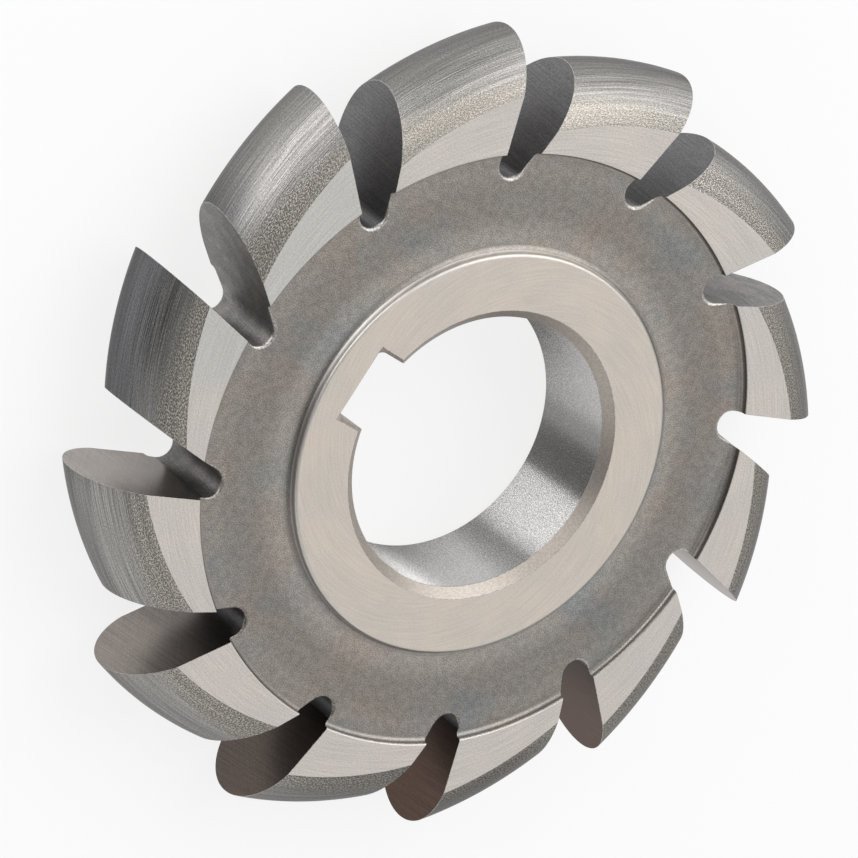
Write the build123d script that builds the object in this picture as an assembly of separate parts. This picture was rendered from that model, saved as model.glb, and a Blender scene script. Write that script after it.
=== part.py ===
from build123d import *
import math
import os

# Convex radius cutter: a disc of form-relieved half-round teeth on a keyed arbor bore, all one
# piece of high speed steel. Lengths are millimetres and angles are degrees. The origin lies on
# the bore axis in the lower hub face, +Z runs up the axis and +X points along the keyway.

# Teeth
cutter_diameter = 80.0
tooth_count = 12
form_radius = 6.0
rake_angle = 10.0
relief_angle = 12.5

# How far each flat side is ground below the full half round, and how far the hub stands proud
# of those sides, so that spacers clamp the hub alone.
side_allowance = 0.15
hub_stand = 0.15

# Gullets between the teeth
gullet_depth = 13.0
gullet_angle = 25.0
gullet_root_radius = 1.4

# Bore and keyway
bore_diameter = 27.0
bore_chamfer = 0.9
keyway_width = 7.1
keyway_height = 30.2
keyway_corner_radius = 1.0

# Hub ring, and the shallow web that is turned into both sides between the hub and the teeth.
# The web meets the hub and the rim in 45 degree slopes, each with a short upright wall above it.
hub_wall = 6.4
rim_height = 10.6
web_depth = 0.9
hub_slope = 0.6
rim_slope = 0.4

# Sizes that follow from the ones above
cutter_radius = cutter_diameter / 2
bore_radius = bore_diameter / 2
hub_radius = bore_radius + hub_wall
web_outer_radius = cutter_radius - rim_height
tooth_width = 2 * (form_radius - side_allowance)
hub_width = tooth_width + 2 * hub_stand
middle_height = hub_width / 2
keyway_floor = keyway_height - bore_radius
pitch_angle = 360 / tooth_count

# How far a cutting solid runs past the surface that it cuts
overrun = 2.0

# The relief cut starts and ends inside a gullet, this share of the gullet's depth above its root
relief_start_share = 0.6

# A web slope takes no more than this share of the wall above it
largest_slope_share = 0.9


def toward(angle):
    """Unit vector in the plane of the disc, at an angle from +X."""
    return Vector(math.cos(math.radians(angle)), math.sin(math.radians(angle)), 0)


def turned_blank():
    """The disc as it comes off the lathe: bore, chamfers, hub, web and plain flat rim."""
    hub_top = hub_width / 2
    rim_top = tooth_width / 2
    web_top = hub_top - web_depth
    web_at_hub = (hub_radius, web_top)
    web_at_rim = (web_outer_radius, web_top)
    outline = Polyline(
        (bore_radius, 0),
        (bore_radius, hub_top - bore_chamfer),
        (bore_radius + bore_chamfer, hub_top),
        (hub_radius, hub_top),
        web_at_hub,
        web_at_rim,
        (web_outer_radius, rim_top),
        (cutter_radius + overrun, rim_top),
        (cutter_radius + overrun, 0),
        close=True,
    )
    upper = make_face(outline)
    hub_corner = upper.vertices().sort_by_distance(web_at_hub)[0]
    upper = chamfer(hub_corner, min(hub_slope, largest_slope_share * web_depth))
    rim_corner = upper.vertices().sort_by_distance(web_at_rim)[0]
    upper = chamfer(rim_corner, min(rim_slope, largest_slope_share * (web_depth - hub_stand)))
    section = upper + mirror(upper, about=Plane.XZ)
    upright = Plane(origin=(0, 0, middle_height), x_dir=(1, 0, 0), z_dir=(0, -1, 0))
    return revolve(upright * section, axis=Axis.Z)


def gullet_root_centre():
    """Centre of the round root: it touches the cutting face and the circle of the roots."""
    face_line = toward(-rake_angle)
    tip = toward(0) * cutter_radius
    start = tip + toward(-rake_angle - 90) * gullet_root_radius
    reach = cutter_radius - gullet_depth + gullet_root_radius
    along = start.dot(face_line)
    inward = along - math.sqrt(along**2 - start.dot(start) + reach**2)
    return start - face_line * inward


def gullet():
    """The slot in front of one tooth: straight cutting face, round root and straight back."""
    centre = gullet_root_centre()
    face_line = toward(-rake_angle)
    back_line = toward(-rake_angle - gullet_angle)
    face_foot = centre + toward(90 - rake_angle) * gullet_root_radius
    back_foot = centre + toward(-90 - rake_angle - gullet_angle) * gullet_root_radius
    bottom = centre - toward(-rake_angle - gullet_angle / 2) * gullet_root_radius
    reach = cutter_radius
    outline = [
        Line(face_foot + face_line * reach, face_foot),
        ThreePointArc(face_foot, bottom, back_foot),
        Line(back_foot, back_foot + back_line * reach),
        Line(back_foot + back_line * reach, face_foot + face_line * reach),
    ]
    slot = make_face(outline)
    return Pos(0, 0, -overrun) * extrude(slot, hub_width + 2 * overrun, dir=(0, 0, 1))


def relief_arc():
    """Radius and centre of the arc that backs the crest off behind the cutting edge.

    It has the slope and the curvature that a spiral of even fall has at the cutting edge.
    """
    slope = math.tan(math.radians(relief_angle))
    radius = cutter_radius * (1 + slope**2) ** 1.5 / (1 + 2 * slope**2)
    centre = toward(0) * cutter_radius - toward(relief_angle) * radius
    return radius, centre


def relief_cut():
    """What the relieving tool takes off one tooth: all that lies outside the half round.

    The half round turns about the centre of the relief arc, so it keeps its form as it sinks
    towards the heel. The cut starts in the middle of one gullet and ends in the next.
    """
    radius, centre = relief_arc()
    form_centre = radius - form_radius
    side = form_radius + overrun
    outer = radius + form_radius + overrun
    outline = [
        ThreePointArc((form_centre, form_radius), (radius, 0), (form_centre, -form_radius)),
        Polyline(
            (form_centre, -form_radius),
            (form_centre, -side),
            (outer, -side),
            (outer, side),
            (form_centre, side),
            (form_centre, form_radius),
        ),
    ]
    section = make_face(outline)

    middle_line = toward(-rake_angle - gullet_angle / 2)
    start = gullet_root_centre() + middle_line * (relief_start_share * gullet_depth)
    end = start.rotate(Axis.Z, pitch_angle)
    start_angle = Axis.X.direction.get_signed_angle(start - centre, Vector(0, 0, 1))
    end_angle = Axis.X.direction.get_signed_angle(end - centre, Vector(0, 0, 1))

    upright = Plane(
        origin=(centre.X, centre.Y, middle_height),
        x_dir=toward(start_angle),
        z_dir=toward(start_angle - 90),
    )
    relief_axis = Axis(centre, (0, 0, 1))
    return revolve(upright * section, axis=relief_axis, revolution_arc=end_angle - start_angle)


def keyway():
    """Key slot from the bore out to its floor, with a radius in both floor corners."""
    slot = Pos(keyway_floor / 2, 0) * Rectangle(keyway_floor, keyway_width)
    corners = slot.vertices().sort_by(Axis.X)[-2:]
    slot = fillet(corners, keyway_corner_radius)
    return Pos(0, 0, -overrun) * extrude(slot, hub_width + 2 * overrun, dir=(0, 0, 1))


def around(tool):
    """One copy of a cutting solid for each tooth."""
    return [Rot(0, 0, number * pitch_angle) * tool for number in range(tooth_count)]


def cutter():
    """The whole cutter: turned, keyed, gashed and relieved."""
    body = turned_blank() - keyway()
    body = body - around(gullet())
    return body - around(relief_cut())


os.makedirs("parts", exist_ok=True)
export_step(cutter(), "parts/cutter.step")
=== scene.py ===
import math

import bmesh
import bpy
from mathutils import Matrix, Vector


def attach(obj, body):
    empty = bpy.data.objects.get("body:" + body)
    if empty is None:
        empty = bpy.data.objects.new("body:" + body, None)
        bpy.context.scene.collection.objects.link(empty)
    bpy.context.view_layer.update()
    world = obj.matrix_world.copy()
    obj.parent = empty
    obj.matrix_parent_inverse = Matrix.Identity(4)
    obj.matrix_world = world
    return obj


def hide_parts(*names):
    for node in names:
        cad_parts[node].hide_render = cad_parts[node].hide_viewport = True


# Convex radius cutter lying flat on a pale table. Lengths are metres; mm turns millimetres
# into them. The cutter is one skin of finely divided faces with a material for each finish
# that the grinding and turning left, and one for a line of painted shade along the inner
# edge of the tooth sides.
mm = 0.001

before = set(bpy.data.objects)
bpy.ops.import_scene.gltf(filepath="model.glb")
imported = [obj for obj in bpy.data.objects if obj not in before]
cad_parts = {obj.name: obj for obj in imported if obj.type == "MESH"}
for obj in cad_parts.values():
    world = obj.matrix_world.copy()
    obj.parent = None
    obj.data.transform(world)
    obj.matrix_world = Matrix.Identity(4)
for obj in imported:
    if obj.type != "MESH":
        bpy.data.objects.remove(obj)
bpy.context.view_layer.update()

# Teeth
cutter_radius = 40 * mm
tooth_count = 12
form_radius = 6 * mm
rake = math.radians(10)
relief = math.radians(12.5)
side_allowance = 0.15 * mm
hub_stand = 0.15 * mm

# Gullets
gullet_depth = 13 * mm
gullet_spread = math.radians(25)
root_radius = 1.4 * mm

# Bore and keyway; the height of the keyway is taken from the far side of the bore
bore_radius = 13.5 * mm
bore_chamfer = 0.9 * mm
keyway_width = 7.1 * mm
keyway_height = 30.2 * mm
keyway_corner = 1.0 * mm
keyway_bevel = 0.33 * mm

# Hub and web, with the round corners that the turning tool left
hub_wall = 6.4 * mm
rim_height = 10.6 * mm
web_depth = 0.9 * mm
hub_corner_radius = 0.75 * mm
hub_corner_rise = 0.6 * mm
rim_corner_radius = 0.45 * mm
rim_corner_rise = 0.4 * mm

# Edges: a fine break on every sharp edge, rounded steps at rim and hub, and a filed lip
# where the gullets cut into the web; a fullness under 1 keeps that lip wide for longer
edge_break = 0.035 * mm
rim_edge_round = 0.2 * mm
hub_edge_round = 0.3 * mm
lip_width = 0.33 * mm
lip_fullness = 0.7
sharpest_smooth_corner = math.radians(35)

# Sizes that follow from the ones above; heights are measured from the middle of the width
pitch = math.tau / tooth_count
hub_radius = bore_radius + hub_wall
rim_radius = cutter_radius - rim_height
root_floor_radius = cutter_radius - gullet_depth
chamfer_radius = bore_radius + bore_chamfer
keyway_half = keyway_width / 2
keyway_floor = keyway_height - bore_radius
side_height = form_radius - side_allowance
hub_height = side_height + hub_stand
web_height = hub_height - web_depth
form_sweep = math.asin(side_height / form_radius)

# How finely the skin is divided. The first steps of a rounded edge count as the flat above
# it, and at the hub the wall reaches down into the round corner.
run_steps = 32
form_steps = 36
root_steps = 16
wall_steps = 6
lip_steps = 4
edge_steps = 5
flat_edge_steps = 2
corner_steps = 8
rim_wall_rows = 1
hub_wall_rows = 4
break_segments = 2
ring_steps_per_pitch = 16
ring_steps = ring_steps_per_pitch * tooth_count
merge_distance = 0.001 * mm

# Marks round the axis: the bearing of each, and the cosines of the angles from it at which the
# mark starts and is full. Each of them paints shade or a highlight, some along with oxide,
# a stain or temper colour.
oxide_and_shade_bearing = math.radians(115)
# Painted shade on the forms of the teeth round one bearing
form_shade_mark = (oxide_and_shade_bearing, 0.86, 0.96)
# Painted shade on two opposite sides of the gullets, with brown oxide colour on the cutting faces
gullet_oxide_and_shade_mark = (oxide_and_shade_bearing, -0.9, 0.4)
# Painted shade at the roots and lips of the gullets on one side
root_shade_mark = (math.radians(90), 0.3, 0.75)
# Red-brown stain with painted shade on the cutting faces round one bearing
face_stain_and_shade_mark = (math.radians(140), 0.7, 0.95)
# Painted shade on one side of the bore
bore_shade_mark = (math.radians(131), 0.84, 0.985)
# Cooler painted shade on the tooth sides round one bearing
side_shade_mark = (math.radians(-10), 0.85, 0.97)
# Blue temper colour with painted shade on the crest of one tooth
temper_and_shade_mark = (math.radians(8), 0.9, 0.97)
# Painted highlight on the shaded edge line of the tooth sides round one bearing
lit_edge_mark = (math.radians(125), 0.55, 0.9)
# Painted highlight on the coarse band of the teeth on one side
band_highlight_mark = (math.radians(-57), 0.82, 0.95)
# Painted shade along the foot of the hub wall on one side
foot_shade_mark = (math.radians(55), 0.3, 0.7)

# Radii between which the colour changes: painted shade on the cutting faces and near the roots
# of the gullets, a painted glow round the hub and a paler ring by the rim of the web, and
# painted shade along the foot of the hub wall
face_shading = (root_floor_radius + 1.5 * mm, root_floor_radius + 9 * mm)
root_shade_fading = (root_floor_radius + 1.5 * mm, root_floor_radius + 3.5 * mm)
hub_glow_fading = (hub_radius + 1.2 * mm, hub_radius + 3.9 * mm)
rim_ring_growing = (rim_radius - 3.4 * mm, rim_radius - 1.6 * mm)
foot_shade_growing = (hub_radius - 0.05 * mm, hub_radius + 0.05 * mm)
foot_shade_fading = (hub_radius + 0.2 * mm, hub_radius + 0.6 * mm)

# Distances from the crest of a tooth between which its finish changes: the coarse band, which
# comes nearer to the crest along the run, the painted shade on the crest, and the temper colour
# with its painted shade
coarse_band_growing = (5.6 * mm, 7.6 * mm)
coarse_band_widening = 0.11
crest_shade_fading = (1.5 * mm, 3.3 * mm)
temper_and_shade_fading = (2.5 * mm, 5.2 * mm)

# Nearly all of a noise lies between the outer two of these values; clouds use the inner ones
noise_low = 0.3
noise_high = 0.7
cloud_low = 0.35
cloud_high = 0.65

# How much the lines of grinding lean, and the two sets of scratches in the gullets
grinding_lean = 0.14
steep_scratch_lean = 0.1
flat_scratch_lean = -0.6
flat_scratch_share = 0.3

# How much the grooves of the bore tip its surface upwards, and the turn of its grain
least_groove_tilt = 0.7
most_groove_tilt = 1.3
quarter_turn = 0.25

# The surface maps of the teeth lie side by side, this far apart
map_shift = 2 * cutter_radius


def polar(radius, angle, height):
    """Point at a distance from the bore axis, an angle from the keyway and a height."""
    return Vector((radius * math.cos(angle), radius * math.sin(angle), height))


def toward(angle):
    """Level unit vector at an angle from the keyway."""
    return polar(1, angle, 0)


def spaced(first, last, steps):
    """Even steps from first to last, both ends included."""
    return [first + (last - first) * step / steps for step in range(steps + 1)]


# The relief arc: its radius and centre, for the tooth whose tip is in line with the keyway
relief_slope = math.tan(relief)
relief_radius = cutter_radius * (1 + relief_slope**2) ** 1.5 / (1 + 2 * relief_slope**2)
relief_centre = toward(0) * cutter_radius - toward(relief) * relief_radius

# The gullet in front of that tooth: offsets of its face and back lines and its round root
face_offset = cutter_radius * math.sin(rake)
root_distance = root_floor_radius + root_radius
root_angle = math.asin((face_offset - root_radius) / root_distance) - rake
root_centre = toward(root_angle) * root_distance
back_lean = rake + gullet_spread
back_offset = root_distance * math.sin(root_angle + back_lean) - root_radius


def face_angle(radius):
    """Where the cutting face crosses a circle round the bore axis."""
    return math.asin(face_offset / radius) - rake


def back_angle(radius):
    """Where the back of the same gullet crosses a circle round the bore axis."""
    return math.asin(back_offset / radius) - back_lean


def form_point(section_angle, share):
    """Point of the relieved half round: across its section and along the run of the tooth."""
    reach = relief_radius - form_radius * (1 - math.cos(section_angle))
    height = form_radius * math.sin(section_angle)
    first = line_crossing(reach, face_offset, rake)
    last = line_crossing(reach, back_offset, back_lean - pitch)
    angle = first + (last - first) * share
    return relief_centre + toward(angle) * reach + Vector((0, 0, height))


def line_crossing(reach, offset, lean):
    """Angle about the relief centre at which a circle of that reach meets a gullet line."""
    centre_offset = relief_centre.x * math.sin(lean) + relief_centre.y * math.cos(lean)
    return math.asin((offset - centre_offset) / reach) - lean


def edge_profile(radius, height, into_metal, edge_round):
    """Rounded edge on top of a step at a radius: (radius, height) pairs, face first.

    into_metal is 1 where the metal lies outside the radius and -1 where it lies inside.
    """
    profile = []
    for angle in spaced(0, math.pi / 2, edge_steps):
        aside = edge_round * (1 - math.sin(angle))
        drop = edge_round * (1 - math.cos(angle))
        profile.append((radius + into_metal * aside, height - drop))
    return profile


def corner_profile(radius, height, onto_web, arc_radius, rise):
    """Round corner between a wall at a radius and the web: (radius, height) pairs, wall first.

    onto_web is 1 where the web lies outside the radius and -1 where it lies inside.
    """
    sweep = math.acos(1 - rise / arc_radius)
    run = arc_radius * math.sin(sweep)
    profile = []
    for angle in spaced(sweep, 0, corner_steps):
        along = run - arc_radius * math.sin(angle)
        up = arc_radius * (1 - math.cos(angle))
        profile.append((radius + onto_web * along, height + up))
    return profile


def gullet_edge():
    """The edge of a gullet on the web, from the rim step along face, root and back.

    Gives the points and, for each, the way into the metal.
    """
    first = math.pi / 2 - rake
    last = -math.pi / 2 - back_lean
    points = [polar(web_outer_radius, face_angle(web_outer_radius), 0)]
    inward = [toward(first)]
    for angle in spaced(first, last + math.tau, root_steps):
        points.append(root_centre + toward(angle) * root_radius)
        inward.append(toward(angle))
    for radius in spaced(points[-1].length, web_outer_radius, wall_steps)[1:]:
        points.append(polar(radius, back_angle(radius), 0))
        inward.append(toward(last))
    return points, inward


def lip_widths(points):
    """Width of the filed lip at each point of a gullet edge, fading out at both ends."""
    lengths = [0]
    for start, end in zip(points, points[1:]):
        lengths.append(lengths[-1] + (end - start).length)
    swells = [math.sin(math.pi * (length / lengths[-1])) for length in lengths]
    return [lip_width * swell**lip_fullness for swell in swells]


rim_profile = edge_profile(rim_radius, side_height, 1, rim_edge_round)
rim_profile += corner_profile(rim_radius, web_height, -1, rim_corner_radius, rim_corner_rise)
hub_profile = edge_profile(hub_radius, hub_height, -1, hub_edge_round)
hub_profile += corner_profile(hub_radius, web_height, 1, hub_corner_radius, hub_corner_rise)
web_outer_radius = rim_profile[-1][0]
web_inner_radius = hub_profile[-1][0]
hub_edge_radius = hub_profile[0][0]
edge_points, edge_inward = gullet_edge()
edge_widths = lip_widths(edge_points)

# Places along the gullet edge: the feet of face and back, and the bottom between them
face_foot = 1
back_foot = face_foot + root_steps
root_bottom = face_foot + root_steps // 2


def below(point):
    """The mirror image of a point in the middle plane of the width."""
    return Vector((point.x, point.y, -point.z))


def next_gullet(point):
    """The same place at the next gullet."""
    return Matrix.Rotation(pitch, 3, "Z") @ point


class Skin:
    """Faces given by their corners, each with a finish and, where it helps, a surface map."""

    def __init__(self):
        self.faces = []

    def add(self, points, finish, spread=None, smooth=False):
        """One face; without a surface map it is mapped as seen from above."""
        spread = spread or [(point.x, point.y) for point in points]
        self.faces.append((points, spread, finish, smooth))

    def strip(self, rows, finish, spreads=None):
        """Four-sided faces between rows with the same number of points."""
        for row in range(len(rows) - 1):
            for step in range(len(rows[row]) - 1):
                corners = [(row, step), (row, step + 1), (row + 1, step + 1), (row + 1, step)]
                points = [rows[level][place] for level, place in corners]
                spread = spreads and [spreads[level][place] for level, place in corners]
                self.add(points, finish, spread, smooth=True)

    def turned(self, turn, shift):
        """The same faces turned about the bore axis, with their map moved along."""
        copy = Skin()
        rotation = Matrix.Rotation(turn, 3, "Z")
        for points, spread, finish, smooth in self.faces:
            moved = [(u + shift, v) for u, v in spread]
            copy.add([rotation @ point for point in points], finish, moved, smooth)
        return copy

    def flipped(self):
        """The same faces on the lower side of the middle plane."""
        copy = Skin()
        for points, spread, finish, smooth in self.faces:
            copy.add([below(point) for point in points[::-1]], finish, spread[::-1], smooth)
        return copy

    def join(self, other):
        self.faces += other.faces


def tooth_form(skin):
    """The relieved half round, mapped by its run and by the distance from the crest."""
    rows = []
    spreads = []
    for angle in spaced(-form_sweep, form_sweep, form_steps):
        rows.append([form_point(angle, share) for share in spaced(0, 1, run_steps)])
        across = form_radius * angle
        spreads.append([((rows[-1][0] - point).length, across) for point in rows[-1]])
    skin.strip(rows, "relieved_form", spreads)


def lip_points(step):
    """The filed lip at one step of the gullet edge, from the gullet wall up to the web."""
    width = edge_widths[step]
    points = []
    for angle in spaced(0, math.pi / 2, lip_steps):
        aside = edge_inward[step] * width * (1 - math.cos(angle))
        height = web_height - width * (1 - math.sin(angle))
        points.append(edge_points[step] + aside + Vector((0, 0, height)))
    return points


def gullet_lip(skin):
    """The filed lip round the whole edge of a gullet on the web."""
    columns = [lip_points(step) for step in range(len(edge_points))]
    skin.strip(columns, "filed_lip")


def gullet_root(skin):
    """The round root between the cutting face and the back of a gullet."""
    steps = range(face_foot, back_foot + 1)
    upper = [lip_points(step)[0] for step in steps]
    lower = [below(point) for point in upper]
    arc = spaced(0, root_radius * math.pi, root_steps)
    spreads = [[(along, row[0].z) for along in arc] for row in (lower, upper)]
    skin.strip([lower, upper], "gullet_wall", spreads)


def plane_wall(skin, section, rim_end, lip_end, finish):
    """A plane gullet wall: round the end of the half round, down the rim step to the root."""
    upper = rim_end + lip_end
    outline = section + upper + [below(point) for point in upper[::-1]]
    spread = [(math.hypot(point.x, point.y), point.z) for point in outline]
    skin.add(outline, finish, spread)


def form_end(share):
    """Section of the half round at a share of the run of the tooth."""
    return [form_point(angle, share) for angle in spaced(-form_sweep, form_sweep, form_steps)]


def cutting_face(skin):
    """The plane face in front of a tooth."""
    rim_end = [polar(radius, face_angle(radius), height) for radius, height in rim_profile]
    lip_end = [lip_points(face_foot)[0]]
    plane_wall(skin, form_end(0), rim_end, lip_end, "cutting_face")


def gullet_back(skin):
    """The plane wall behind a tooth, which is the back of the next gullet."""
    rim_end = []
    for radius, height in rim_profile:
        rim_end.append(next_gullet(polar(radius, back_angle(radius), height)))
    steps = range(back_foot, len(edge_points) - 1)
    lip_end = [next_gullet(lip_points(step)[0]) for step in steps][::-1]
    plane_wall(skin, form_end(1), rim_end, lip_end, "gullet_wall")


def pitch_arc(radius, height):
    """The part of a circle that lies on one tooth, from its cutting face to its back."""
    first = face_angle(radius)
    last = back_angle(radius) + pitch
    return [polar(radius, angle, height) for angle in spaced(first, last, run_steps)]


def step_strips(skin, rows, edge_finishes, wall_finish, wall_rows):
    """A step between two heights: its rounded edge, its wall and the round corner at its foot.

    The flatter part of the edge has one finish and the steeper part another.
    """
    wall_end = edge_steps + wall_rows
    flat_finish, steep_finish = edge_finishes
    skin.strip(rows[: flat_edge_steps + 1], flat_finish)
    skin.strip(rows[flat_edge_steps : edge_steps + 1], steep_finish)
    skin.strip(rows[edge_steps : wall_end + 1], wall_finish)
    skin.strip(rows[wall_end:], "turned_corner")


def tooth_side(skin):
    """The flat ground side of a tooth, and the rim step with its round corner below it."""
    boundary = [form_point(form_sweep, share) for share in spaced(0, 1, run_steps)]
    skin.add(boundary + pitch_arc(*rim_profile[0])[::-1], "ground_side")
    rows = [pitch_arc(radius, height) for radius, height in rim_profile]
    step_strips(skin, rows, ("ground_side", "scaly_edge"), "turned_corner", rim_wall_rows)


def web_sector(skin):
    """The web between the middles of two gullets."""
    edge = [lip_points(step)[-1] for step in range(len(edge_points))]
    outline = edge[: root_bottom + 1][::-1]
    outline += pitch_arc(web_outer_radius, web_height)[1:-1]
    outline += [next_gullet(point) for point in edge[root_bottom:][::-1]]
    ring = [polar(web_inner_radius, ring_angle(step), web_height) for step in sector_steps(1)]
    outline += ring[::-1]
    skin.add(outline, "turned_web")


def ring_angle(step):
    """Angle of a step of the rings round the hub."""
    return math.tau * step / ring_steps


def sector_steps(first):
    """Ring steps of one pitch, from a first one on."""
    return range(first, first + ring_steps_per_pitch + 1)


def hub_wall_ring(skin):
    """The short wall round the hub and the round corner at its foot."""
    steps = range(ring_steps + 1)
    rows = []
    for radius, height in hub_profile:
        rows.append([polar(radius, ring_angle(step), height) for step in steps])
    step_strips(skin, rows, ("ground_wall", "ground_wall"), "ground_wall", hub_wall_rows)


# The inner ring runs round the bore from one edge of the keyway to the other
inner_sectors = tooth_count - 1
inner_steps = inner_sectors * ring_steps_per_pitch


def inner_ring(radius, height, keyway_reach):
    """Points of a ring that stops at a distance on either side of the middle of the keyway."""
    edge = math.asin(keyway_reach / radius)
    return [polar(radius, angle, height) for angle in spaced(edge, math.tau - edge, inner_steps)]


def chamfer_rows():
    """The chamfer of the bore from its upper edge down, which the bevel of the keyway cuts into."""
    bevel_foot = hub_height - keyway_bevel
    return [
        inner_ring(chamfer_radius, hub_height, keyway_half + keyway_bevel),
        inner_ring(chamfer_radius - keyway_bevel, bevel_foot, keyway_half),
        inner_ring(bore_radius, hub_height - bore_chamfer, keyway_half),
    ]


def keyway_outline(height):
    """The keyway from one side of the bore round its floor to the other."""
    corner = keyway_floor - keyway_corner
    level = keyway_half - keyway_corner
    outline = []
    for angle in spaced(math.pi / 2, 0, corner_steps):
        outline.append(Vector((corner, level, height)) + toward(angle) * keyway_corner)
    for angle in spaced(0, -math.pi / 2, corner_steps):
        outline.append(Vector((corner, -level, height)) + toward(angle) * keyway_corner)
    return outline


def bevel_outline():
    """The outer edge of the bevel round the keyway: square, with as many points."""
    corner = keyway_floor - keyway_corner
    level = keyway_half - keyway_corner
    reach = keyway_corner + keyway_bevel
    outline = []
    for angle in spaced(math.pi / 2, 0, corner_steps):
        way = toward(angle) / max(math.cos(angle), math.sin(angle))
        outline.append(Vector((corner + way.x * keyway_corner, level + way.y * reach, hub_height)))
    return outline + [Vector((point.x, -point.y, point.z)) for point in outline[::-1]]


def hub_face(skin):
    """The ground hub face in sectors, the last one round the keyway."""
    inner = chamfer_rows()[0]
    first = ring_steps_per_pitch // 2
    for sector in range(inner_sectors):
        start = sector * ring_steps_per_pitch
        steps = sector_steps(first + start)
        outer = [polar(hub_edge_radius, ring_angle(step), hub_height) for step in steps]
        skin.add(outer + inner[start : start + ring_steps_per_pitch + 1][::-1], "ground_hub")
    outer = [polar(hub_edge_radius, ring_angle(step), hub_height) for step in sector_steps(-first)]
    skin.add(outer + [inner[0]] + bevel_outline() + [inner[-1]], "ground_hub")


def bore_chamfer_ring(skin):
    """The chamfer round the bore, from one edge of the keyway to the other."""
    skin.strip(chamfer_rows(), "bore_chamfer")


def keyway_bevel_faces(skin):
    """The bevel round the keyway: beside both side walls, and round the corners of the floor."""
    upper, lower = chamfer_rows()[:2]
    outer = bevel_outline()
    inner = keyway_outline(hub_height - keyway_bevel)
    skin.strip([outer, inner], "keyway_wall")
    for end in (0, -1):
        skin.add([upper[end], lower[end], inner[end], outer[end]], "keyway_wall")


def bore_wall(skin):
    """The wall of the bore between the chamfers."""
    upper = chamfer_rows()[-1]
    skin.strip([upper, [below(point) for point in upper]], "honed_bore")


def keyway_walls(skin):
    """Both side walls, cut short by the chamfers, and the floor with its round corners."""
    chamfer = chamfer_rows()
    upper = keyway_outline(hub_height - keyway_bevel)
    skin.strip([upper, [below(point) for point in upper]], "keyway_wall")
    for end in (0, -1):
        half = [upper[end], chamfer[1][end], chamfer[2][end]]
        wall = half + [below(point) for point in half[::-1]]
        skin.add(wall, "keyway_wall", [(point.x, point.z) for point in wall])


def one_pitch():
    """One tooth with the gullet in front of it and the web beside them, on both sides."""
    upper = Skin()
    tooth_side(upper)
    web_sector(upper)
    gullet_lip(upper)
    skin = Skin()
    skin.join(upper)
    skin.join(upper.flipped())
    tooth_form(skin)
    gullet_root(skin)
    cutting_face(skin)
    gullet_back(skin)
    return skin


def whole_skin():
    """Every face of the cutter: the teeth in turn, both ends of the hub, and the bore."""
    sector = one_pitch()
    skin = Skin()
    for tooth in range(tooth_count):
        skin.join(sector.turned(tooth * pitch, tooth * map_shift))
    ends = Skin()
    hub_wall_ring(ends)
    hub_face(ends)
    bore_chamfer_ring(ends)
    keyway_bevel_faces(ends)
    skin.join(ends)
    skin.join(ends.flipped())
    bore_wall(skin)
    keyway_walls(skin)
    return skin


def skin_mesh(skin, name):
    """One closed mesh from the faces, with its lower hub face on the table."""
    form = bmesh.new()
    spread_layer = form.loops.layers.uv.new("spread")
    lift = Vector((0, 0, hub_height))
    for points, spread, finish, smooth in skin.faces:
        face = form.faces.new([form.verts.new(point + lift) for point in points])
        face.material_index = finishes.index(finish)
        face.smooth = smooth
        for loop, place in zip(face.loops, spread):
            loop[spread_layer].uv = place
    bmesh.ops.remove_doubles(form, verts=form.verts, dist=merge_distance)
    bmesh.ops.recalc_face_normals(form, faces=form.faces)
    weigh_edges(form)
    mesh = bpy.data.meshes.new(name)
    form.to_mesh(mesh)
    form.free()
    return mesh


def weigh_edges(form):
    """Marks the sharp edges, which get a fine break."""
    weights = form.edges.layers.float.new("bevel_weight_edge")
    for edge in form.edges:
        sharp = len(edge.link_faces) == 2 and edge.calc_face_angle() > sharpest_smooth_corner
        edge[weights] = 1 if sharp else 0


def break_edges(piece):
    """Breaks the marked edges, with a finish of their own."""
    modifier = piece.modifiers.new("broken_edges", "BEVEL")
    modifier.limit_method = "WEIGHT"
    modifier.width = edge_break
    modifier.segments = break_segments
    modifier.use_clamp_overlap = False
    modifier.material = finishes.index("broken_edge")
    modifier.harden_normals = True
    bpy.context.view_layer.objects.active = piece
    piece.select_set(True)
    bpy.ops.object.modifier_apply(modifier=modifier.name)


class Nodes:
    """Short ways to build a node tree."""

    def __init__(self, tree):
        self.tree = tree

    def node(self, kind, inputs=(), **settings):
        """Adds a node; its inputs are sockets to link or plain values, in order."""
        node = self.tree.nodes.new("ShaderNode" + kind)
        for name, value in settings.items():
            setattr(node, name, value)
        for place, value in enumerate(inputs):
            self.feed(node.inputs[place], value)
        return node

    def feed(self, socket, value):
        """Links a socket to an input, or sets a plain value there; None leaves it as it is."""
        if isinstance(value, bpy.types.NodeSocket):
            self.tree.links.new(value, socket)
        elif value is not None:
            socket.default_value = value

    def math(self, operation, first, second=None, third=None):
        return self.node("Math", (first, second, third), operation=operation).outputs[0]

    def vector_math(self, operation, first, second=None, output="Vector"):
        return self.node("VectorMath", (first, second), operation=operation).outputs[output]

    def axes(self, vector):
        return self.node("SeparateXYZ", (vector,)).outputs

    def vector(self, x, y, z=0.0):
        return self.node("CombineXYZ", (x, y, z)).outputs[0]

    def band(self, value, low, high, from_value=0.0, to_value=1.0):
        """A value carried smoothly from one range to another."""
        inputs = (value, low, high, from_value, to_value)
        return self.node("MapRange", inputs, interpolation_type="SMOOTHSTEP").outputs[0]


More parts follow.
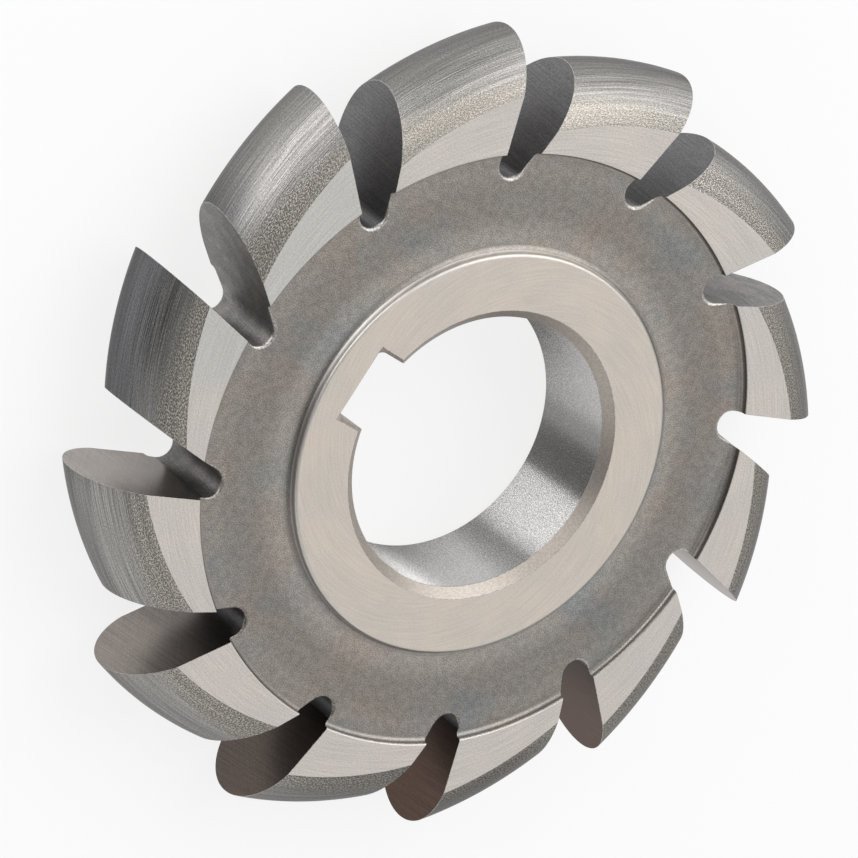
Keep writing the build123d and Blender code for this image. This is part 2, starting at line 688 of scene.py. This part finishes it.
class Metal(Nodes):
    """A metal under construction: its node tree, its shader and its bumped surface."""

    def __init__(self, name, roughness, anisotropy=0.0, grazing=1.0):
        """A grazing value under 1 makes the metal dimmer where it is seen nearly edge on."""
        self.material = bpy.data.materials.new(name)
        self.material.use_nodes = True
        super().__init__(self.material.node_tree)
        self.shader = self.tree.nodes["Principled BSDF"]
        self.shader.inputs["Metallic"].default_value = 1
        self.shader.inputs["Roughness"].default_value = roughness
        self.shader.inputs["Anisotropic"].default_value = anisotropy
        self.shader.inputs["Specular Tint"].default_value = (grazing, grazing, grazing, 1)
        self.bumped = None

    def place(self, shift=(0.0, 0.0, 0.0)):
        """Position in the frame of the cutter, in metres, moved to draw other noise."""
        place = self.node("TexCoord").outputs["Object"]
        return self.vector_math("ADD", place, shift)

    def spread(self):
        """Position on the surface, in metres along and across it."""
        return self.node("UVMap", uv_map="spread").outputs["UV"]

    def ring_place(self):
        """Distance from the bore axis, and the length of the way round it at the rim."""
        x, y = self.axes(self.place())[:2]
        radius = self.vector_math("LENGTH", self.vector(x, y), output="Value")
        return radius, self.math("MULTIPLY", self.math("ARCTAN2", y, x), rim_radius)

    def noise(self, vector, size, detail=2, along=1):
        """Noise from 0 to 1 with features of a size, stretched along the first axis."""
        scale = (1 / (size * along), 1 / size, 1 / size)
        node = self.node("TexNoise", (self.vector_math("MULTIPLY", vector, scale),))
        node.inputs["Scale"].default_value = 1
        node.inputs["Detail"].default_value = detail
        return node.outputs["Fac"]

    def blend(self, share, first, second):
        """A colour between two others."""
        node = self.node("Mix", data_type="RGBA")
        self.feed(node.inputs["Factor"], share)
        for name, colour in (("A", first), ("B", second)):
            socket = [item for item in node.inputs if item.name == name and item.type == "RGBA"][0]
            self.feed(socket, (*colour, 1) if isinstance(colour, tuple) else colour)
        return [item for item in node.outputs if item.type == "RGBA"][0]

    def clouded(self, clouds, first, second):
        """A colour that goes from one to another in the clouds of a noise."""
        return self.blend(self.band(clouds, cloud_low, cloud_high), first, second)

    def scaled(self, colour, factor):
        """A colour times a factor."""
        node = self.node("VectorMath", (colour,), operation="SCALE")
        self.feed(node.inputs["Scale"], factor)
        return node.outputs[0]

    def tinted(self, colour, share, tint):
        """A colour multiplied by a tint, by a share from 0 to 1."""
        return self.blend(share, colour, self.vector_math("MULTIPLY", colour, tint))

    def shade(self, colour, noise, depth):
        """A colour made lighter and darker by a noise, by up to a depth each way."""
        return self.scaled(colour, self.band(noise, noise_low, noise_high, 1 - depth, 1 + depth))

    def relief(self, height, depth):
        """Bumps the surface by a height from 0 to 1 times a depth in metres."""
        node = self.node("Bump")
        node.inputs["Distance"].default_value = depth
        node.inputs["Strength"].default_value = 1
        self.feed(node.inputs["Height"], height)
        self.feed(node.inputs["Normal"], self.bumped)
        self.bumped = node.outputs[0]
        self.feed(self.shader.inputs["Normal"], self.bumped)

    def colour(self, colour):
        self.feed(self.shader.inputs["Base Color"], colour)

    def roughness(self, value):
        self.feed(self.shader.inputs["Roughness"], value)

    def grooves_round_axis(self):
        """Turns the grain of the shader so that its grooves run round the bore axis."""
        tangent = self.node("Tangent", direction_type="RADIAL", axis="Z").outputs[0]
        self.feed(self.shader.inputs["Tangent"], tangent)
        self.shader.inputs["Anisotropic Rotation"].default_value = quarter_turn

    def at_mark(self, mark, away=0.0, there=1.0, sides=1):
        """A value that goes smoothly from one away from a mark to another at its middle.

        A mark on two sides has its second middle opposite the first.
        """
        bearing, start, full = mark
        x, y = self.axes(self.place())[:2]
        angle = self.math("SUBTRACT", self.math("ARCTAN2", y, x), bearing)
        nearness = self.math("COSINE", self.math("MULTIPLY", angle, sides))
        return self.band(nearness, start, full, away, there)


def sparkling_tone(metal, grain):
    """Colour of the coarse band: bright grains between darker ones.

    Round one bearing the darker grains are paler, a painted highlight.
    """
    dark = (0.17, 0.16, 0.147)
    highlighted_dark = (0.3, 0.275, 0.243)
    bright = (0.575, 0.543, 0.49)
    # Painted highlight: the darker grains are paler round one bearing
    ground = metal.blend(metal.at_mark(band_highlight_mark), dark, highlighted_dark)
    return metal.blend(metal.band(grain, 0.44, 0.62), ground, bright)


def heat_stained_and_shaded(metal, tone, from_crest):
    """A tone with blue temper colour and painted shade on the crest of one tooth.

    Round another bearing the forms are darkened too, as painted shade.
    """
    temper_and_shade_tint = (0.55, 0.56, 0.6)
    form_shade_tint = (0.7, 0.7, 0.71)
    # Blue temper colour with painted shade on the crest of one tooth
    on_crest = metal.band(from_crest, *temper_and_shade_fading, 1.0, 0.0)
    tempered_and_shaded = metal.math("MULTIPLY", metal.at_mark(temper_and_shade_mark), on_crest)
    tone = metal.tinted(tone, tempered_and_shaded, temper_and_shade_tint)
    # Painted shade on the forms of the teeth round one bearing
    return metal.tinted(tone, metal.at_mark(form_shade_mark), form_shade_tint)


def relieved_form_metal():
    """Form-ground teeth: streaks along the run and a coarse sparkling band by the flat sides."""
    form_steel = (0.312, 0.301, 0.29)
    fine_roughness = 0.27
    coarse_roughness = 0.38
    metal = Metal("relieved_form", roughness=fine_roughness, grazing=0.5)
    spread = metal.spread()
    along, across = metal.axes(spread)[:2]
    from_crest = metal.math("ABSOLUTE", across)
    widening = metal.math("MULTIPLY", metal.math("MODULO", along, map_shift), coarse_band_widening)
    coarse = metal.band(metal.math("ADD", from_crest, widening), *coarse_band_growing)
    streaks = metal.noise(spread, 0.06 * mm, along=180)
    broad = metal.noise(spread, 0.55 * mm, detail=3, along=30)
    grain = metal.noise(spread, 0.095 * mm, detail=3, along=2)
    fine_tone = metal.shade(metal.shade(form_steel, streaks, depth=0.34), grain, depth=0.26)
    tone = metal.blend(coarse, fine_tone, sparkling_tone(metal, grain))
    tone = metal.shade(tone, broad, depth=0.12)
    # Painted shade: the crest of every tooth is a little darker
    tone = metal.scaled(tone, metal.band(from_crest, *crest_shade_fading, 0.88, 1.0))
    metal.colour(heat_stained_and_shaded(metal, tone, from_crest))
    metal.roughness(metal.band(coarse, 0.0, 1.0, fine_roughness, coarse_roughness))
    metal.relief(streaks, depth=0.034 * mm)
    metal.relief(metal.math("MULTIPLY", grain, coarse), depth=0.045 * mm)
    return metal.material


def grinding_lines(metal, size):
    """Fine lines that run round the axis with a slight lean, as a grinding wheel leaves them."""
    radius, way = metal.ring_place()
    leaning = metal.math("ADD", radius, metal.math("MULTIPLY", way, grinding_lean))
    return metal.noise(metal.vector(way, leaning), size, detail=3, along=50)


def ground_side_metal():
    """Flat-ground tooth sides: pale, with fine leaning lines and faint clouds.

    Cooler painted shade darkens the sides round one bearing.
    """
    warm_steel = (0.665, 0.615, 0.57)
    grey_steel = (0.635, 0.6, 0.565)
    cool_shaded_steel = (0.585, 0.575, 0.545)
    metal = Metal("ground_side", roughness=0.42)
    lines = grinding_lines(metal, 0.12 * mm)
    clouds = metal.noise(metal.place(), 5 * mm)
    grain = metal.noise(metal.place(), 0.16 * mm)
    tone = metal.clouded(clouds, warm_steel, grey_steel)
    # Cooler painted shade on the sides round one bearing
    tone = metal.blend(metal.at_mark(side_shade_mark), tone, cool_shaded_steel)
    tone = metal.shade(tone, lines, depth=0.08)
    metal.colour(metal.shade(tone, grain, depth=0.09))
    metal.relief(lines, depth=0.003 * mm)
    return metal.material


def crossed_scratches(metal, size):
    """Fine scratches across a gullet wall, with fainter ones that lean the other way."""
    along, across = metal.axes(metal.spread())[:2]
    steep = metal.math("MULTIPLY_ADD", across, steep_scratch_lean, along)
    flat = metal.math("MULTIPLY_ADD", across, flat_scratch_lean, along)
    main = metal.noise(metal.vector(across, steep), size, detail=3, along=60)
    faint = metal.noise(metal.vector(across, flat), size, detail=3, along=60)
    main_part = metal.math("MULTIPLY", main, 1 - flat_scratch_share)
    return metal.math("MULTIPLY_ADD", faint, flat_scratch_share, main_part)


def gullet_oxide_and_shade(metal):
    """How much oxide and painted shade a gullet has, from 0 to 1.

    There is most on two opposite sides of the cutter.
    """
    return metal.at_mark(gullet_oxide_and_shade_mark, sides=2)


def cutting_face_metal():
    """Sharpened faces: warm satin grey with crossed scratches and painted shade towards the root.

    Brown oxide with painted shade covers two opposite sides, and a red stain with painted shade
    lies round one bearing.
    """
    warm_steel = (0.465, 0.418, 0.385)
    grey_steel = (0.42, 0.384, 0.356)
    brown_oxide_and_shade = (0.115, 0.092, 0.08)
    red_stain_and_shade_tint = (0.83, 0.67, 0.61)
    metal = Metal("cutting_face", roughness=0.29, grazing=0.75)
    scratches = crossed_scratches(metal, 0.14 * mm)
    clouds = metal.noise(metal.place(), 4 * mm)
    grain = metal.noise(metal.place(), 0.16 * mm)
    radius = metal.ring_place()[0]
    tone = metal.clouded(clouds, warm_steel, grey_steel)
    # Brown oxide with painted shade on two opposite sides of the cutter
    tone = metal.blend(gullet_oxide_and_shade(metal), tone, brown_oxide_and_shade)
    # Painted shade: darker towards the root of the gullet
    tone = metal.scaled(tone, metal.band(radius, *face_shading, 0.6, 1.0))
    # Red-brown stain with painted shade round one bearing
    tone = metal.tinted(tone, metal.at_mark(face_stain_and_shade_mark), red_stain_and_shade_tint)
    tone = metal.shade(tone, scratches, depth=0.17)
    metal.colour(metal.shade(tone, grain, depth=0.1))
    metal.relief(scratches, depth=0.006 * mm)
    return metal.material


def gullet_wall_metal():
    """Milled gullets: satin grey, cloudy, with a fine grain.

    Painted shade darkens two opposite sides, and the roots on one side.
    """
    light_steel = (0.35, 0.33, 0.317)
    dark_steel = (0.262, 0.259, 0.257)
    grey_oxide_and_shade = (0.19, 0.189, 0.193)
    metal = Metal("gullet_wall", roughness=0.5, grazing=0.8)
    marks = crossed_scratches(metal, 0.15 * mm)
    grain = metal.noise(metal.place(), 0.15 * mm)
    clouds = metal.noise(metal.place(), 1.6 * mm, detail=3)
    # Painted shade on two opposite sides of the cutter
    oxide_and_shade = metal.band(gullet_oxide_and_shade(metal), 0.0, 1.0, 0.0, 0.85)
    # Painted shade near the roots of the gullets on one side
    near_root = metal.band(metal.ring_place()[0], *root_shade_fading, 1.0, 0.0)
    root_shade = metal.math("MULTIPLY", near_root, metal.at_mark(root_shade_mark, there=0.6))
    tone = metal.clouded(clouds, light_steel, dark_steel)
    tone = metal.blend(oxide_and_shade, tone, grey_oxide_and_shade)
    tone = metal.shade(tone, marks, depth=0.16)
    tone = metal.scaled(tone, metal.math("SUBTRACT", 1.0, root_shade))
    metal.colour(metal.shade(tone, grain, depth=0.22))
    metal.relief(marks, depth=0.006 * mm)
    return metal.material


def turned_tone(metal):
    """The web's own colour and its grain: warm dark grey with brown and blue-grey clouds."""
    warm_grey = (0.27, 0.254, 0.233)
    brown_grey = (0.282, 0.248, 0.22)
    blue_grey = (0.232, 0.237, 0.233)
    brown = metal.noise(metal.place(), 7 * mm, detail=3)
    blue = metal.noise(metal.place(shift=(30 * mm, 70 * mm, 0.0)), 9 * mm, detail=3)
    grain = metal.noise(metal.place(), 0.11 * mm)
    mottle = metal.noise(metal.place(), 0.7 * mm)
    tone = metal.blend(metal.band(brown, 0.4, 0.66), warm_grey, brown_grey)
    tone = metal.blend(metal.band(blue, 0.5, 0.7), tone, blue_grey)
    tone = metal.shade(tone, grain, depth=0.34)
    return metal.shade(tone, mottle, depth=0.09), grain


def turned_web_metal():
    """Turned web: dull and mottled, with a painted glow round the hub, a little paler by the rim.
    """
    metal = Metal("turned_web", roughness=0.46)
    tone, grain = turned_tone(metal)
    radius = metal.ring_place()[0]
    # Painted light: a paler glow on the web round the hub
    tone = metal.scaled(tone, metal.band(radius, *hub_glow_fading, 1.38, 1.03))
    metal.colour(metal.scaled(tone, metal.band(radius, *rim_ring_growing, 1.0, 1.12)))
    metal.relief(grain, depth=0.012 * mm)
    return metal.material


def foot_shaded(metal, tone):
    """A tone with painted shade along the foot of the hub wall, round one bearing."""
    foot_shade_tint = (0.62, 0.62, 0.63)
    radius = metal.ring_place()[0]
    outside_edge = metal.band(radius, *foot_shade_growing)
    by_wall = metal.band(radius, *foot_shade_fading, 1.0, 0.0)
    at_foot = metal.math("MULTIPLY", outside_edge, by_wall)
    share = metal.math("MULTIPLY", at_foot, metal.at_mark(foot_shade_mark))
    return metal.tinted(tone, share, foot_shade_tint)


def turned_corner_metal():
    """Round corners of the web: the same metal, a little brighter.

    Painted shade darkens the foot of the hub wall on one side.
    """
    brighter_steel = (0.42, 0.39, 0.36)
    brighter_share = 0.25
    metal = Metal("turned_corner", roughness=0.38)
    tone, grain = turned_tone(metal)
    metal.colour(foot_shaded(metal, metal.blend(brighter_share, tone, brighter_steel)))
    metal.relief(grain, depth=0.01 * mm)
    return metal.material


def filed_lip_metal():
    """Filed edges of the gullets: brighter than the web, with coarse marks.

    Painted shade darkens them on one side.
    """
    dark_marks = (0.3, 0.285, 0.27)
    bright_marks = (0.6, 0.575, 0.54)
    lip_shade_tint = (0.55, 0.53, 0.51)
    metal = Metal("filed_lip", roughness=0.4)
    marks = metal.noise(metal.place(), 0.18 * mm)
    tone = metal.clouded(marks, dark_marks, bright_marks)
    # Painted shade on the lips on one side
    metal.colour(metal.tinted(tone, metal.at_mark(root_shade_mark), lip_shade_tint))
    metal.relief(marks, depth=0.02 * mm)
    return metal.material


def ground_hub_metal():
    """Ground hub face: pale and warm, with faint rings."""
    warm_steel = (0.69, 0.62, 0.55)
    grey_steel = (0.66, 0.605, 0.545)
    metal = Metal("ground_hub", roughness=0.4)
    lines = grinding_lines(metal, 0.16 * mm)
    clouds = metal.noise(metal.place(), 4 * mm)
    grain = metal.noise(metal.place(), 0.16 * mm)
    tone = metal.clouded(clouds, warm_steel, grey_steel)
    tone = metal.shade(tone, lines, depth=0.05)
    metal.colour(metal.shade(tone, grain, depth=0.05))
    metal.relief(lines, depth=0.003 * mm)
    return metal.material


def groove_normal(metal, grooves):
    """Surface direction of the bore with the upper flanks of its grooves, as seen from above."""
    tilt = metal.band(grooves, noise_low, noise_high, least_groove_tilt, most_groove_tilt)
    wall = metal.node("NewGeometry").outputs["Normal"]
    leaning = metal.vector_math("ADD", wall, metal.vector(0.0, 0.0, tilt))
    return metal.vector_math("NORMALIZE", leaning)


def honed_bore_metal():
    """Honed bore: satin, with fine grooves round the axis and painted shade on one side."""
    warm_steel = (0.56, 0.548, 0.536)
    grey_steel = (0.54, 0.531, 0.524)
    metal = Metal("honed_bore", roughness=0.25, anisotropy=0.85)
    metal.grooves_round_axis()
    way = metal.ring_place()[1]
    height = metal.axes(metal.place())[2]
    grooves = metal.noise(metal.vector(way, height), 0.03 * mm, along=12)
    clouds = metal.noise(metal.place(), 2 * mm, detail=3)
    grain = metal.noise(metal.place(), 0.15 * mm)
    tone = metal.clouded(clouds, warm_steel, grey_steel)
    # Painted shade on one side of the bore
    tone = metal.scaled(tone, metal.at_mark(bore_shade_mark, away=1.0, there=0.45))
    tone = metal.shade(tone, grooves, depth=0.09)
    metal.colour(metal.shade(tone, grain, depth=0.16))
    metal.feed(metal.shader.inputs["Normal"], groove_normal(metal, grooves))
    return metal.material


def bore_chamfer_metal():
    """Chamfers of the bore: warm and dull, with a fine grain."""
    warm_steel = (0.44, 0.397, 0.355)
    metal = Metal("bore_chamfer", roughness=0.42)
    grain = metal.noise(metal.place(), 0.16 * mm)
    metal.colour(metal.shade(warm_steel, grain, depth=0.14))
    metal.relief(grain, depth=0.005 * mm)
    return metal.material


def keyway_wall_metal():
    """Broached keyway: marks along the slot, browner than the bore."""
    brown_steel = (0.33, 0.285, 0.25)
    metal = Metal("keyway_wall", roughness=0.42)
    x, y, z = metal.axes(metal.place())
    marks = metal.noise(metal.vector(z, metal.math("ADD", x, y)), 0.14 * mm, detail=3, along=40)
    metal.colour(metal.shade(brown_steel, marks, depth=0.16))
    metal.relief(marks, depth=0.005 * mm)
    return metal.material


def broken_edge_metal():
    """Fine edge breaks: bare metal, nicked here and there."""
    dark_steel = (0.32, 0.305, 0.29)
    bare_steel = (0.56, 0.54, 0.51)
    metal = Metal("broken_edge", roughness=0.42)
    nicks = metal.noise(metal.place(), 0.3 * mm, detail=3)
    metal.colour(metal.blend(metal.band(nicks, 0.4, 0.65), dark_steel, bare_steel))
    return metal.material


def ground_wall_metal():
    """Wall round the hub: ground bright round the axis, with painted shade at its foot on one side.
    """
    bright_steel = (0.62, 0.59, 0.555)
    metal = Metal("ground_wall", roughness=0.44)
    lines = grinding_lines(metal, 0.1 * mm)
    metal.colour(foot_shaded(metal, metal.shade(bright_steel, lines, depth=0.08)))
    return metal.material


def shaded_edge_metal():
    """Inner edge of the tooth sides: a thin line of painted shade.

    Round one bearing it is lighter instead, a painted highlight.
    """
    edge_shade = (0.13, 0.122, 0.115)
    lit_steel = (0.42, 0.395, 0.37)
    metal = Metal("scaly_edge", roughness=0.5)
    grain = metal.noise(metal.place(), 0.2 * mm, detail=3)
    tone = metal.blend(metal.at_mark(lit_edge_mark), edge_shade, lit_steel)
    metal.colour(metal.shade(tone, grain, depth=0.25))
    return metal.material


finish_makers = {
    "relieved_form": relieved_form_metal,
    "ground_side": ground_side_metal,
    "cutting_face": cutting_face_metal,
    "gullet_wall": gullet_wall_metal,
    "turned_web": turned_web_metal,
    "turned_corner": turned_corner_metal,
    "filed_lip": filed_lip_metal,
    "ground_hub": ground_hub_metal,
    "bore_chamfer": bore_chamfer_metal,
    "honed_bore": honed_bore_metal,
    "keyway_wall": keyway_wall_metal,
    "broken_edge": broken_edge_metal,
    "ground_wall": ground_wall_metal,
    "scaly_edge": shaded_edge_metal,
}
finishes = list(finish_makers)

piece_mesh = skin_mesh(whole_skin(), "cutter_skin")
for make_finish in finish_makers.values():
    piece_mesh.materials.append(make_finish())
cutter = bpy.data.objects.new("cutter_dressed", piece_mesh)
bpy.context.collection.objects.link(cutter)
break_edges(cutter)
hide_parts("cutter")
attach(cutter, "root")

# Camera, placed by its bearing and elevation as seen from the point that it looks at; the
# focal length of its lens is in millimetres
camera_bearing = math.radians(-4.23)
camera_elevation = math.radians(52.1)
camera_roll = math.radians(125.88)
camera_distance = 394.6 * mm
camera_nearest = 10 * mm
camera_aim = Vector((7.18 * mm, 0.38 * mm, 2 * hub_height))
camera_focal_length = 180.07

# Room and lamps; what glows by 1 looks pure white
room_glow = 0.45
ceiling_glow = 0.82
ceiling_bearing = math.radians(176)
ceiling_elevation = math.radians(52)
ceiling_core = math.radians(16)
ceiling_reach = math.radians(48)
wall_start = math.radians(9)
wall_end = math.radians(46)
wall_softness = math.radians(4)
wall_darkness = 0.95
wall_fade_start = math.radians(25)
wall_fade_end = math.radians(52)
wall_top_share = 0.35
lamp_distance = 800 * mm
white = (1, 1, 1, 1)

# The table looks white, and this share of its whiteness doesn't depend on the light; it lies
# a hair under the cutter
table_radius = 1500 * mm
table_sides = 96
table_gap = 0.01 * mm
table_paint = (0.9, 0.9, 0.9, 1)
table_roughness = 0.9
table_whiteness = 0.8


def bearing_vector(bearing, elevation):
    """Unit vector at a bearing from the keyway and an angle above the table."""
    level = toward(bearing) * math.cos(elevation)
    return level + Vector((0, 0, math.sin(elevation)))


def add_camera():
    """A camera turned to its point, and rolled about its own line of sight."""
    away = bearing_vector(camera_bearing, camera_elevation)
    data = bpy.data.cameras.new("camera")
    data.lens = camera_focal_length
    data.clip_start = camera_nearest
    camera = bpy.data.objects.new("camera", data)
    camera.location = camera_aim + away * camera_distance
    upright = away.to_track_quat("Z", "Y").to_matrix()
    camera.rotation_euler = (upright @ Matrix.Rotation(camera_roll, 3, "Z")).to_euler()
    bpy.context.collection.objects.link(camera)
    bpy.context.scene.camera = camera


def add_softbox(name, bearing, elevation, width, height, glow):
    """A rectangular light at a bearing, turned to the cutter, with its angles in degrees.

    Its power follows from its size, so that it looks as bright as its glow says.
    """
    data = bpy.data.lights.new(name, "AREA")
    data.shape = "RECTANGLE"
    data.size = 2 * lamp_distance * math.tan(math.radians(width / 2))
    data.size_y = 2 * lamp_distance * math.tan(math.radians(height / 2))
    data.energy = glow * math.pi * data.size * data.size_y
    away = bearing_vector(math.radians(bearing), math.radians(elevation))
    lamp = bpy.data.objects.new(name, data)
    lamp.location = away * lamp_distance
    lamp.rotation_euler = away.to_track_quat("Z", "Y").to_euler()
    bpy.context.collection.objects.link(lamp)


def wall_dimming(nodes, direction):
    """Share of the light that comes from a direction: little from the dark wall.

    The wall has soft ends and is less dark towards its top.
    """
    x, y, z = nodes.axes(direction)
    bearing = nodes.math("ARCTAN2", y, x)
    start = (wall_start - wall_softness, wall_start + wall_softness)
    end = (wall_end - 2 * wall_softness, wall_end + wall_softness)
    top = (math.sin(wall_fade_start), math.sin(wall_fade_end))
    after_start = nodes.band(bearing, *start)
    before_end = nodes.band(bearing, *end, 1.0, 0.0)
    below_top = nodes.band(z, *top, 1.0, wall_top_share)
    between_ends = nodes.math("MULTIPLY", after_start, before_end)
    inside = nodes.math("MULTIPLY", between_ends, below_top)
    return nodes.band(inside, 0.0, 1.0, 1.0, 1 - wall_darkness)


def add_room():
    """Soft light from all round, brighter from the ceiling on one side, and one dark wall."""
    world = bpy.data.worlds.new("room")
    world.use_nodes = True
    nodes = Nodes(world.node_tree)
    direction = nodes.node("TexCoord").outputs["Generated"]
    ceiling = bearing_vector(ceiling_bearing, ceiling_elevation)
    nearness = nodes.vector_math("DOT_PRODUCT", direction, ceiling, output="Value")
    far = math.cos(ceiling_reach)
    near = math.cos(ceiling_core)
    glow = nodes.band(nearness, far, near, room_glow, ceiling_glow)
    background = world.node_tree.nodes["Background"]
    background.inputs["Color"].default_value = white
    strength = nodes.math("MULTIPLY", glow, wall_dimming(nodes, direction))
    nodes.feed(background.inputs["Strength"], strength)
    bpy.context.scene.world = world


def table_material():
    """Pale and dull; what looks at it straight or in a reflection sees it whiter still."""
    material = bpy.data.materials.new("table")
    material.use_nodes = True
    nodes = Nodes(material.node_tree)
    dull = material.node_tree.nodes["Principled BSDF"]
    dull.inputs["Base Color"].default_value = table_paint
    dull.inputs["Roughness"].default_value = table_roughness
    glowing = nodes.node("Emission", (white, 1.0))
    path = nodes.node("LightPath").outputs
    seen = nodes.math("ADD", path["Is Camera Ray"], path["Is Glossy Ray"])
    share = nodes.math("MULTIPLY", seen, table_whiteness)
    mixed = nodes.node("MixShader", (share, dull.outputs[0], glowing.outputs[0]))
    surface = material.node_tree.nodes["Material Output"].inputs["Surface"]
    nodes.feed(surface, mixed.outputs[0])
    return material


def add_table():
    """A wide pale disc just under the cutter."""
    form = bmesh.new()
    bmesh.ops.create_circle(form, cap_ends=True, segments=table_sides, radius=table_radius)
    mesh = bpy.data.meshes.new("table")
    form.to_mesh(mesh)
    form.free()
    mesh.materials.append(table_material())
    table = bpy.data.objects.new("table", mesh)
    table.location.z = -table_gap
    bpy.context.collection.objects.link(table)


add_camera()
add_table()
add_room()
add_softbox("near_box", bearing=-16, elevation=17.5, width=46, height=37, glow=2.25)
add_softbox("side_box", bearing=-99, elevation=36, width=64, height=58, glow=1.78)
add_softbox("far_box", bearing=108, elevation=22, width=88, height=42, glow=0.48)
bpy.context.scene.view_settings.view_transform = "Standard"
